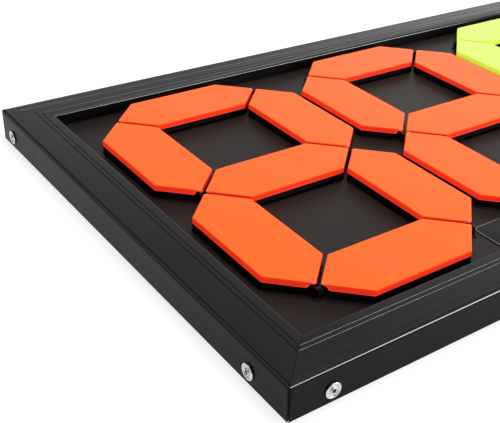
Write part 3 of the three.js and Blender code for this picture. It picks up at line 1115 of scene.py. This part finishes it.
def lay_sides(shape, outline, rings, outside):
    """Faces between two rings. Only those on the outside can be rubbed."""
    uv = shape.loops.layers.uv["grain"]
    polish = shape.loops.layers.float["polish"]
    around = 0
    for k in range(len(outline)):
        n = (k + 1) % len(outline)
        step = (outline[n] - outline[k]).length
        worn = outside and rubbed((outline[k] + outline[n]) / 2)
        corners = [rings[0][k], rings[0][n], rings[1][n], rings[1][k]]
        heights = [around, around + step, around + step, around]
        if outside:
            corners.reverse()
            heights.reverse()
        face = shape.faces.new(corners)
        for loop, height in zip(face.loops, heights):
            loop[uv].uv = (loop.vert.co.x, height * MM)
            loop[polish] = float(worn)
        around += step


def close_end(shape, rings):
    """Fills a mitre between the outline's ring and the chamber's."""
    uv = shape.loops.layers.uv["grain"]
    rim = [shape.edges.get((ring[k], ring[(k + 1) % len(ring)]))
           for ring in rings for k in range(len(ring))]
    made = bmesh.ops.triangle_fill(shape, use_beauty=True, edges=rim)
    for face in [g for g in made["geom"] if isinstance(g, bmesh.types.BMFace)]:
        for loop in face.loops:
            loop[uv].uv = (loop.vert.co.x + loop.vert.co.y, loop.vert.co.z)


def extruded_rail(length, out):
    """A mitred rail along X with its outer wall at y = -out."""
    shape = bmesh.new()
    shape.loops.layers.uv.new("grain")
    shape.loops.layers.float.new("polish")
    parts = []
    for outline, outside in zip(rail_section(), (True, False)):
        rings = [mitred_ring(shape, outline, end, length, out) for end in (-1, 1)]
        lay_sides(shape, outline, rings, outside)
        parts.append(rings)
    for end in (0, 1):
        close_end(shape, [rings[end] for rings in parts])
    bmesh.ops.recalc_face_normals(shape, faces=shape.faces)
    return from_shape(shape, "rail")


print("mitre gap:", MITRE_GAP, "mm")

# %% [markdown]
# Seen from above, the corners of the board are rounded. Rounding each rail's end by hand
# would have to follow the section all the way round. It is simpler to trim every rail to
# the board's plan: what lies inside a tall block with rounded corners stays.

# %% Trim the rails and put them in their places
CORNER_ROUND = 1.8
PLAN_STEPS = 9
BLOCK_HEIGHTS = (-RAIL_DEPTH, 2 * RAIL_DEPTH)
CRISP_RAIL_EDGE = 40
RAIL_TURNS = {"bottom": 0, "right": 90, "top": 180, "left": 270}
# how clearly a rail shows its lines and their painted sheen: clearly on the far rails,
# faintly on the near ones
RAIL_LINES_AND_SHEEN = {"bottom": 0.1, "right": 1.0, "top": 1.0, "left": 0.1}


def plan_block(length, out):
    """A block over the outer half of the board's rounded plan."""
    plan = rounded([(-length / 2, 0, CORNER_ROUND), (length / 2, 0, CORNER_ROUND),
                    (length / 2, 2 * RAIL_FACE, 0), (-length / 2, 2 * RAIL_FACE, 0)],
                   PLAN_STEPS)
    shape = bmesh.new()
    uv = shape.loops.layers.uv.new("grain")
    shape.loops.layers.float.new("polish")
    low, high = [[shape.verts.new(Vector((x, y - out, z)) * MM) for x, y in plan]
                 for z in BLOCK_HEIGHTS]
    for k in range(len(plan)):
        n = (k + 1) % len(plan)
        shape.faces.new((low[k], low[n], high[n], high[k]))
    shape.faces.new(low[::-1])
    shape.faces.new(high)
    for face in shape.faces:
        for loop in face.loops:
            loop[uv].uv = (loop.vert.co.x, loop.vert.co.z)
    return from_shape(shape, "block")


def trimmed_rail(length, out, turn):
    """A rail inside the rounded plan, turned about Z into its place."""
    rail = shown("rail", extruded_rail(length, out))
    block = shown("block", plan_block(length, out))
    trim = rail.modifiers.new("trim", "BOOLEAN")
    trim.operation, trim.solver, trim.object = "INTERSECT", "EXACT", block
    mesh = evaluated(rail)
    bpy.data.objects.remove(block)
    mesh.transform(Matrix.Rotation(math.radians(turn), 4, "Z"))
    smooth_under(mesh, CRISP_RAIL_EDGE)
    return evenly_shaded(mesh)


board_half = Vector((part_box("rail_right")[1].x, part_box("rail_top")[1].y)) / MM
for side, turn in RAIL_TURNS.items():
    half_length, out = board_half if turn % 180 == 0 else board_half.yx
    mesh = trimmed_rail(2 * half_length, out, turn)
    clear = mesh.attributes.new("lines", "FLOAT", "POINT")
    clear.data.foreach_set("value", [RAIL_LINES_AND_SHEEN[side]] * len(mesh.vertices))
    rail = shown("rail_skin_" + side, mesh, rail_finish)
    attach(rail, "frame")
    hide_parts("rail_" + side)
    print("rail", side, "faces:", len(mesh.polygons))

# %% [markdown]
# ## Rivets
#
# Blind rivets hold the corner brackets. A set rivet has a flat flange, a groove and a boss
# in the middle, with a hole where its blackened mandrel broke off a little below the rim.
# A bump could hint at the rings, but the rivets catch the light and have to be real
# shapes. They are turned like the posts and placed by the same rule. The mandrels are
# pieces of their own, because their steel is darker.

# %% Shapes of a rivet and its mandrel
RIVET_HEAD = 4                          # radius of the flange
RIVET_HEIGHT = 1.35
RIVET_FLANGE = 0.95                     # height of the flange
RIVET_GROOVE = 3.1
GROOVE_FLOOR = 0.45
RIVET_BOSS = 1.9
RIVET_SHANK = 2
RIVET_GRIP = 4.9                        # from the wall's outside to the blind head
MANDREL = 1.1
MANDREL_DEPTH = 0.55
HOLE_DEPTH = 1.8
MANDREL_FOOT = 1.7
RIVET_SIDES = 40
MANDREL_SIDES = 24

BLIND_STEPS = [(0, -2.6), (1.6, -2.6), (2.6, -1.9), (2.9, -1.1), (2.5, -0.2),
               (RIVET_SHANK, 0)]
SEAT_STEPS = [(RIVET_SHANK, 0.05), (RIVET_HEAD - 0.35, 0.05), (RIVET_HEAD - 0.3, 0.12)]
FLANGE_STEPS = [(RIVET_HEAD, -0.4), (RIVET_HEAD, -0.25), (RIVET_HEAD - 0.12, -0.1),
                (RIVET_HEAD - 0.3, 0), (RIVET_GROOVE, -0.03), (RIVET_GROOVE - 0.12, -0.1)]
GROOVE_STEPS = [(RIVET_GROOVE - 0.25, 0.06), (RIVET_GROOVE - 0.4, 0),
                (RIVET_BOSS + 0.15, 0), (RIVET_BOSS, 0.1)]
BOSS_STEPS = [(RIVET_BOSS - 0.1, -0.25), (RIVET_BOSS - 0.25, -0.07),
              (RIVET_BOSS - 0.45, 0), (MANDREL + 0.12, -0.05), (MANDREL, -0.2),
              (MANDREL, -HOLE_DEPTH), (0, -HOLE_DEPTH)]
BREAK_STEPS = [(MANDREL - 0.08, -0.1), (MANDREL - 0.25, 0), (0, 0.12)]

rivet_profile = (heights_from(-RIVET_GRIP, BLIND_STEPS) + SEAT_STEPS
                 + heights_from(RIVET_FLANGE, FLANGE_STEPS)
                 + heights_from(GROOVE_FLOOR, GROOVE_STEPS)
                 + heights_from(RIVET_HEIGHT, BOSS_STEPS))
mandrel_profile = (heights_from(RIVET_HEIGHT - MANDREL_FOOT, [(0, 0), (MANDREL - 0.08, 0)])
                   + heights_from(RIVET_HEIGHT - MANDREL_DEPTH, BREAK_STEPS))
print("points of the profiles:", len(rivet_profile), len(mandrel_profile))

# %% Rivets and mandrels
OUTWARD = {"bottom": Vector((0, -1, 0)), "top": Vector((0, 1, 0)),
           "left": Vector((-1, 0, 0)), "right": Vector((1, 0, 0))}

rivet_names = [name for name in frame["nodes"] if name.startswith("rivet_")]
rivet_spots = []
for name in sorted(rivet_names):
    low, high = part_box(name)
    middle = (low + high) / 2 / MM
    outward = OUTWARD[name.split("_")[1]]
    reach = board_half.y if outward.y else board_half.x
    on_wall = Vector((middle.x * abs(outward.y), middle.y * abs(outward.x), middle.z))
    rivet_spots.append((on_wall + outward * reach,
                        tuple(outward.to_track_quat("Z", "Y").to_euler())))
rivets = repeated_piece("rivets", turned_shape(rivet_profile, RIVET_SIDES), rivet_spots,
                        rivet_finish)
mandrels = repeated_piece("mandrels", turned_shape(mandrel_profile, MANDREL_SIDES),
                          rivet_spots, mandrel_finish)
for obj in (rivets, mandrels):
    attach(obj, "frame")
    for name in rivet_names:
        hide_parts(name)
print("rivets:", len(rivet_spots))

# %% [markdown]
# ## The bare label
#
# A thin plate with rounded corners lies on the panel between the first two digits. It is
# kept bare. A border painted by the shader would be soft at its edge, so the border is a
# thin frame of its own, a hair higher than the face.

# %% Label plate
LABEL_MIDDLE = (-141.9, -106)
LABEL_HALF = (16.5, 10)
LABEL_CORNER = 3
LABEL_BORDER = 0.7
LABEL_THICKNESS = 0.4
BORDER_RISE = 0.12
LABEL_EASE = 0.05
LABEL_SUNK = 0.02                       # into the panel, so that no gap shows
LABEL_STEPS = 6
CRISP_LABEL_EDGE = 50


def label_outline(inset):
    """The label's outline, drawn in by inset."""
    corners = rectangle(LABEL_HALF[0] - inset, LABEL_HALF[1] - inset, LABEL_CORNER - inset)
    return [point + Vector(LABEL_MIDDLE) for point in rounded(corners, LABEL_STEPS)]


label_parts = (
    ("label_face", [LABEL_BORDER], LABEL_THICKNESS, label_finish),
    ("label_border", [0, LABEL_BORDER], LABEL_THICKNESS + BORDER_RISE, border_finish),
)
for name, insets, thickness, finish in label_parts:
    mesh = plate(name, [label_outline(inset) for inset in insets], thickness,
                 panel_top_z - LABEL_SUNK, LABEL_EASE, CRISP_LABEL_EDGE)
    obj = shown(name, mesh, finish)
    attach(obj, "frame")
    print(name, "faces:", len(mesh.polygons))

# %% [markdown]
# ## Brackets
#
# The corner brackets are out of sight inside the rails, so a finer shape would be wasted.
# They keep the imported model's shape and only get their finish.

# %% Finish of the brackets
brackets = [node for name, node in frame["nodes"].items() if name.startswith("bracket_")]
for bracket in brackets:
    bracket.data.materials.clear()
    bracket.data.materials.append(sawn_finish.material)
print("brackets:", len(brackets))

# %% [markdown]
# ## Floor
# The board lies on a pale floor. Lamps that make it white would bleach the flaps too. So
# the floor gives a little light of its own, but only to the camera, to mirrors and to
# glass, and it still takes the board's shadow. Under the board its colour is painted
# nearly black, a painted shade for the dark there, because a pale patch would be mirrored
# in the panel through the windows.

# %% Floor
FLOOR_SIZE = 30
FLOOR_PAINTED_SHADE = grey(0.02)
FLOOR_OPEN = grey(0.42)
FLOOR_GLOW = grey(0.75)

floor_shape = bmesh.new()
bmesh.ops.create_grid(floor_shape, x_segments=1, y_segments=1, size=FLOOR_SIZE)
floor_finish = Finish("pale floor", Roughness=0.9, Emission_Strength=1.0)
rays = floor_finish.node("ShaderNodeLightPath", output="Is Camera Ray")
kinds = {sock.socket.name: sock for sock in floor_finish.outputs(rays)}
seen = (rays + kinds["Is Glossy Ray"] + kinds["Is Transmission Ray"]).held()
beside = [abs(side).ramp((half - RAIL_FACE) * MM, half * MM)
          for side, half in zip(floor_finish.axes(floor_finish.place()), board_half)]
open_air = (beside[0] + beside[1]).held()
# painted shade: the floor's colour is nearly black under the board
floor_finish.feed("Base Color", floor_finish.mix(open_air, FLOOR_PAINTED_SHADE, FLOOR_OPEN))
floor_finish.feed("Emission Color",
                  floor_finish.mix(seen * open_air, grey(0), FLOOR_GLOW))
floor = shown("floor", from_shape(floor_shape, "floor"), floor_finish)
print("floor:", 2 * FLOOR_SIZE, "m wide")

# %% [markdown]
# ## Light and air
#
# The studio's light is soft. An even sky would light all sides alike, but in the
# photograph the far faces shine and the near walls are deep. So the sky is bright only
# low down behind the board and to its right, which the flat faces mirror. One large lamp
# overhead lights the flaps, and a narrow one at the front right draws the bright lines
# along the bottom rail.

# %% World
# Each pair is a height, 0 level with the board and 1 overhead, and the light there.
SKY = ((0.0, 1.6), (0.32, 1.35), (0.41, 1.35), (0.47, 1.2), (0.55, 0.42), (0.62, 0.08),
       (1.0, 0.08))
SKY_EVERYWHERE = 0.16
SKY_RIGHT = (0.03, 0.2)                 # dark up to the first, bright from the second on
SKY_BEHIND = (-0.3, 0.1)
SKY_FAR_RIGHT = (-0.35, 0.05)
SKY_FAR_RIGHT_LIGHT = 0.9

world = bpy.data.worlds.new("air")
bpy.context.scene.world = world
world.use_nodes = True
air = Net(world.node_tree)
east, north, up = air.axes(air.node("ShaderNodeTexCoord", output="Generated"))
climb = air.node("ShaderNodeValToRGB",
                 {"stops": [(height, grey(light)) for height, light in SKY]}, {"Fac": up})
behind = east.ramp(*SKY_RIGHT) * north.ramp(*SKY_BEHIND)
beyond = (east - north).ramp(*SKY_FAR_RIGHT)
background = air.tree.nodes["Background"]
plug(air.tree, background.inputs["Color"], grey(1))
plug(air.tree, background.inputs["Strength"],
     SKY_EVERYWHERE + behind * (climb + SKY_FAR_RIGHT_LIGHT * beyond))
print("sky from", SKY_EVERYWHERE, "to", SKY[0][1] + SKY_FAR_RIGHT_LIGHT + SKY_EVERYWHERE)

# %% Lamps
LAMPS = {
    "top lamp": {"place": (0.05, 0.2, 1.5), "aim": (-0.1, 0, 0), "size": (1.2, 1.2),
                 "power": 17},
    "front lamp": {"place": (0.42, -0.78, 0.28), "aim": (-0.2, -0.12, 0),
                   "size": (0.8, 0.28), "power": 5},
}


def lamp(name, place, aim, size, power):
    """A rectangular lamp of so many watts."""
    data = bpy.data.lights.new(name, "AREA")
    data.shape = "RECTANGLE"
    data.size, data.size_y = size
    data.energy = power
    linked(name, data).matrix_world = looking(Vector(place), Vector(aim))


for name, values in LAMPS.items():
    lamp(name, **values)
bpy.context.scene.view_settings.view_transform = "Standard"
print("lamps:", ", ".join(LAMPS))

# %% [markdown]
# ## Last step
#
# The view layer is brought up to date.

# %% Update the view layer
bpy.context.view_layer.update()
